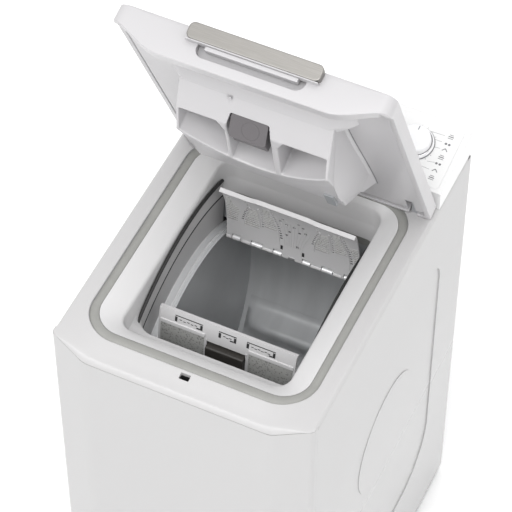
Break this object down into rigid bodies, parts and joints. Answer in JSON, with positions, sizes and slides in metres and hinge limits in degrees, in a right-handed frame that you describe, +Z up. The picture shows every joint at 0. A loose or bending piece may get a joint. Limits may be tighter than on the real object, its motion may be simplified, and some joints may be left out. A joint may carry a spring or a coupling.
{
  "type": "top load washing machine",
  "caption": "Slim white top load washing machine with its lid raised and the flaps of its sideways drum open; dispenser in the lid, dial console behind.",
  "frame": {"origin": "centre of the bounding box at the floor, with the lid raised", "axes": "+Z up, the front panel faces -Y, +X to the right of a person facing the machine"},
  "size_m": [0.4, 0.572, 1.265],
  "materials": {
    "white_enamel": "smooth white baked enamel on sheet steel",
    "zinc_steel": "plain zinc-coated steel",
    "white_plastic": "fine-grained white moulded plastic",
    "lid_plastic": "glossy white moulded plastic",
    "gasket_grey": "soft grey sealing rubber",
    "handle_metal": "satin warm grey metallic finish",
    "drum_steel": "satin stainless steel",
    "pin_steel": "bright drawn stainless wire and rod",
    "lifter_grey": "grey moulded plastic",
    "button_grey": "dark grey-brown moulded plastic",
    "softener_grey": "dark grey moulded plastic",
    "latch_plastic": "white moulded plastic",
    "knob_white": "white knob with darker rings",
    "key_white": "white push keys",
    "lamp_lens": "translucent amber lamp lenses",
    "tub_plastic": "grey filled polypropylene",
    "black_rubber": "black rubber",
    "bearing_steel": "ground bearing steel",
    "cast_alloy": "cast aluminium",
    "motor_steel": "laminated steel core",
    "motor_alloy": "cast aluminium case",
    "iron": "rough cast iron",
    "heater_steel": "tubular heater sheath",
    "black_plastic": "black moulded plastic",
    "blue_plastic": "pale moulded plastic valve body",
    "filter_grey": "grey moulded plastic",
    "board_green": "circuit board laminate",
    "nut_steel": "zinc-plated steel"
  },
  "bodies": {
    "cabinet": {"base_tray": "tub_plastic", "console_fascia": "lid_plastic", "console_housing": "white_plastic", "control_board": "board_green", "counterweight": "iron", "cover_gasket": "gasket_grey", "door_lock": "black_plastic", "drain_outlet": "black_plastic", "drain_pump": "black_plastic", "drive_belt": "black_rubber", "drum_bearings": "bearing_steel", "filter_frame": "lid_plastic", "foot_locknuts": "nut_steel", "front_panel": "white_enamel", "heater": "heater_steel", "hinge_brackets": "zinc_steel", "inlet_valve": "blue_plastic", "lamp_lenses": "lamp_lens", "left_side_panel": "white_enamel", "levelling_feet": "black_plastic", "mains_gland": "black_plastic", "motor_bracket": "zinc_steel", "motor_housing": "motor_alloy", "opening_well": "white_plastic", "rear_panel": "zinc_steel", "right_side_panel": "white_enamel", "shaft_seals": "black_rubber", "shock_dampers": "black_plastic", "spring_rails": "zinc_steel", "suspension_springs": "zinc_steel", "top_cover": "white_plastic", "tub_end_left": "tub_plastic", "tub_end_right": "tub_plastic", "tub_shell": "tub_plastic", "well_bellows": "gasket_grey"},
    "lid": {"lid_shell": "lid_plastic", "lid_hinge_pins": "zinc_steel", "lid_liner": "lid_plastic", "lid_handle": "handle_metal", "latch_hook": "latch_plastic", "dispenser_box": "lid_plastic"},
    "softener": {"softener_cup": "softener_grey"},
    "drum": {"drum_shell": "drum_steel", "drum_end_left": "drum_steel", "drum_end_right": "drum_steel", "drum_lifters": "lifter_grey", "hinge_strips": "drum_steel", "flap_pins": "pin_steel", "flap_springs": "pin_steel", "drum_pulley": "cast_alloy"},
    "motor": {"motor_rotor": "motor_steel"},
    "rear_flap": {"rear_flap": "drum_steel"},
    "front_flap": {"front_flap": "drum_steel"},
    "flap_catch": {"flap_button": "button_grey"},
    "knob": {"program_knob": "knob_white"},
    "start_key": {"start_button": "key_white"},
    "temperature_key": {"temperature_button": "key_white"},
    "spin_key": {"spin_button": "key_white"},
    "filter_flap": {"filter_door": "lid_plastic"},
    "filter": {"pump_filter": "filter_grey"}
  },
  "joints": [
    {"name": "lid_hinge", "type": "hinge", "parent": "cabinet", "child": "lid", "pos_m": [0, 0.149, 0.838], "axis": [1, 0, 0], "range_deg": [0, 66]},
    {"name": "softener_slide", "type": "slide", "parent": "lid", "child": "softener", "axis": [0, -0.9609, -0.277], "range_m": [0, 0.015]},
    {"name": "drum_turn", "type": "hinge", "parent": "cabinet", "child": "drum", "pos_m": [0, -0.0024, 0.4757], "axis": [1, 0, 0], "range_deg": [-4, 4]},
    {"name": "motor_turn", "type": "hinge", "parent": "cabinet", "child": "motor", "pos_m": [0, 0.12, 0.14], "axis": [1, 0, 0], "range_deg": [-50, 50]},
    {"name": "rear_flap_hinge", "type": "hinge", "parent": "drum", "child": "rear_flap", "pos_m": [0, 0.098, 0.677], "axis": [1, 0, 0], "range_deg": [0, 72], "stiffness_Nm_per_rad": 0.35, "springref_deg": -51.57},
    {"name": "front_flap_hinge", "type": "hinge", "parent": "drum", "child": "front_flap", "pos_m": [0, -0.13, 0.661], "axis": [-1, 0, 0], "range_deg": [0, 62], "stiffness_Nm_per_rad": 0.35, "springref_deg": -51.57},
    {"name": "flap_button_slide", "type": "slide", "parent": "front_flap", "child": "flap_catch", "axis": [0, 0.9977, -0.068], "range_m": [0, 0.004], "stiffness_N_per_m": 400, "springref_m": -0.002},
    {"name": "knob_turn", "type": "hinge", "parent": "cabinet", "child": "knob", "pos_m": [0.132, 0.2293, 0.86503], "axis": [0, -0.1899, 0.9818], "continuous": true},
    {"name": "start_key_press", "type": "slide", "parent": "cabinet", "child": "start_key", "axis": [0, 0.1899, -0.9818], "range_m": [0, 0.0012], "stiffness_N_per_m": 400, "springref_m": -0.001},
    {"name": "temperature_key_press", "type": "slide", "parent": "cabinet", "child": "temperature_key", "axis": [0, 0.1899, -0.9818], "range_m": [0, 0.0012], "stiffness_N_per_m": 400, "springref_m": -0.001},
    {"name": "spin_key_press", "type": "slide", "parent": "cabinet", "child": "spin_key", "axis": [0, 0.1899, -0.9818], "range_m": [0, 0.0012], "stiffness_N_per_m": 400, "springref_m": -0.001},
    {"name": "filter_flap_hinge", "type": "hinge", "parent": "cabinet", "child": "filter_flap", "pos_m": [0.07, -0.281, 0.059], "axis": [1, 0, 0], "range_deg": [0, 80]},
    {"name": "filter_turn", "type": "hinge", "parent": "cabinet", "child": "filter", "pos_m": [0.07, -0.239, 0.096], "axis": [0, 1, 0], "range_deg": [0, 180]}
  ],
  "couplings": [
    {"joint": "motor_turn", "follows": "drum_turn", "ratio": 12}
  ]
}
